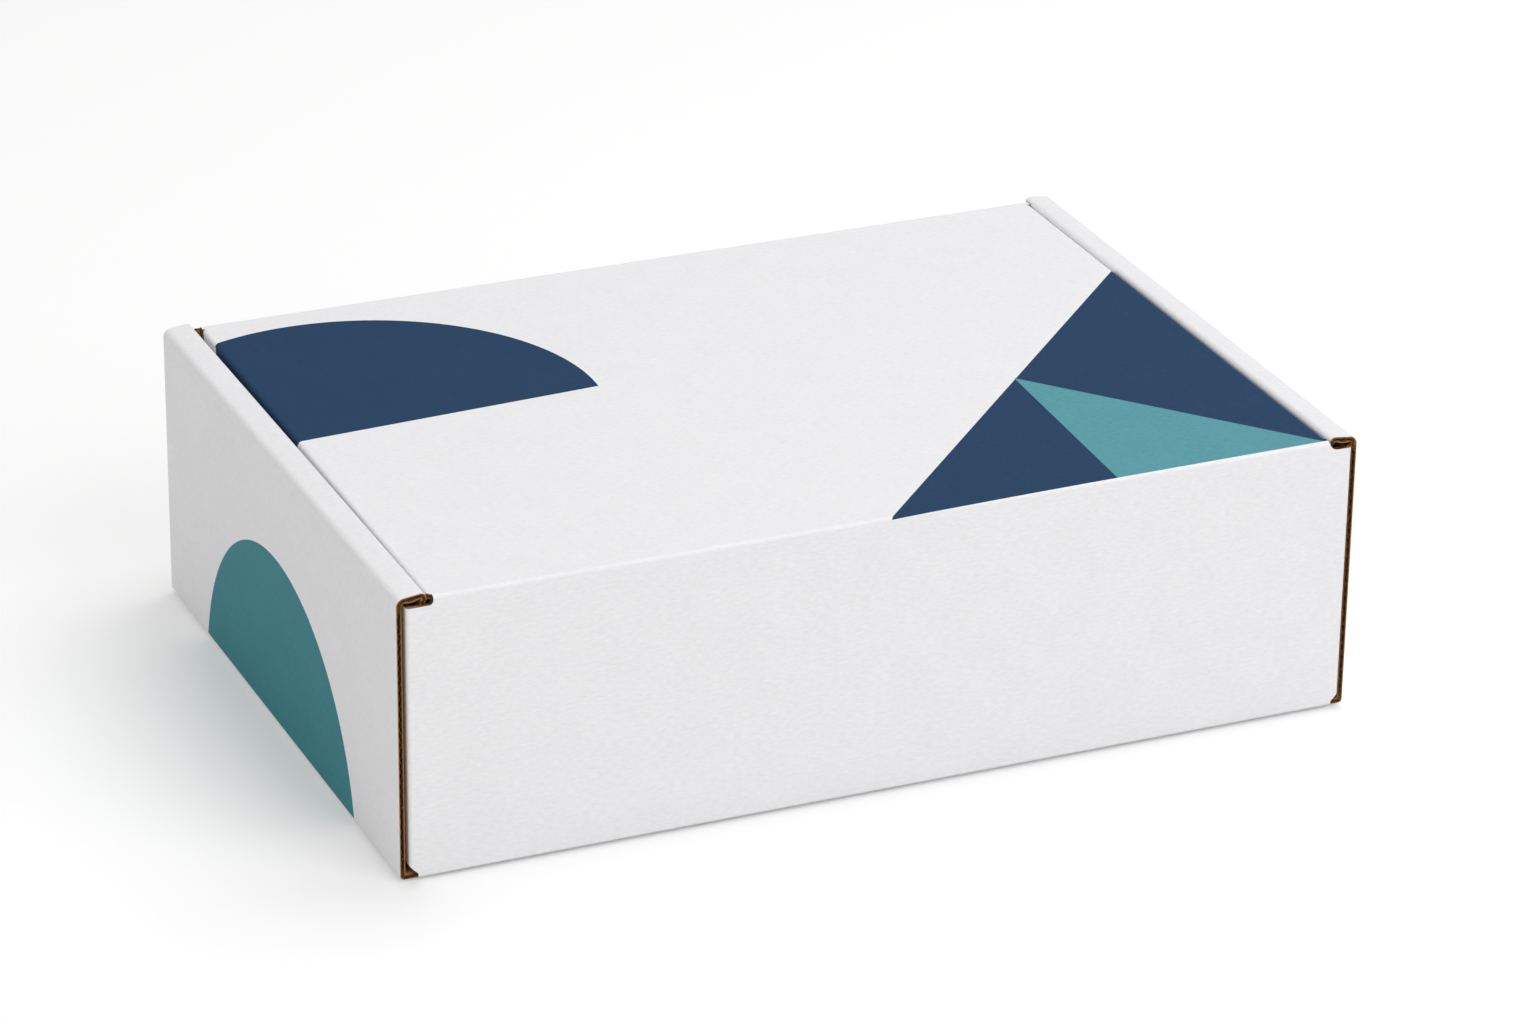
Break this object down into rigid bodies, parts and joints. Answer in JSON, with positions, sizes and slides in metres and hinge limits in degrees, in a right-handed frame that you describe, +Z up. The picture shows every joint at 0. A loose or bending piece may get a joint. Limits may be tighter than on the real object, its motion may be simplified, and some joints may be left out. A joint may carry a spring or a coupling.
{
  "type": "corrugated mailer box",
  "caption": "Shallow die-cut mailer box folded from one corrugated sheet, with rolled double end walls and a hinged lid that tucks inside its front wall.",
  "frame": {"origin": "middle of the underside", "axes": "+X along the hinge crease, the box's long side; -Y is the hinge wall; +Z up"},
  "size_m": [0.31, 0.215, 0.091],
  "materials": {
    "tray_board": "matte clay-white liner outside, brown kraft inside and at cut edges",
    "lid_board": "matte clay-white liner printed with flat navy and teal fields, brown kraft inside"
  },
  "bodies": {
    "tray": {"tray": "tray_board"},
    "lid": {"lid": "lid_board"}
  },
  "joints": [
    {"name": "lid_crease", "type": "hinge", "parent": "tray", "child": "lid", "pos_m": [0, -0.1075, 0.09], "axis": [1, 0, 0], "range_deg": [0, 180]}
  ]
}
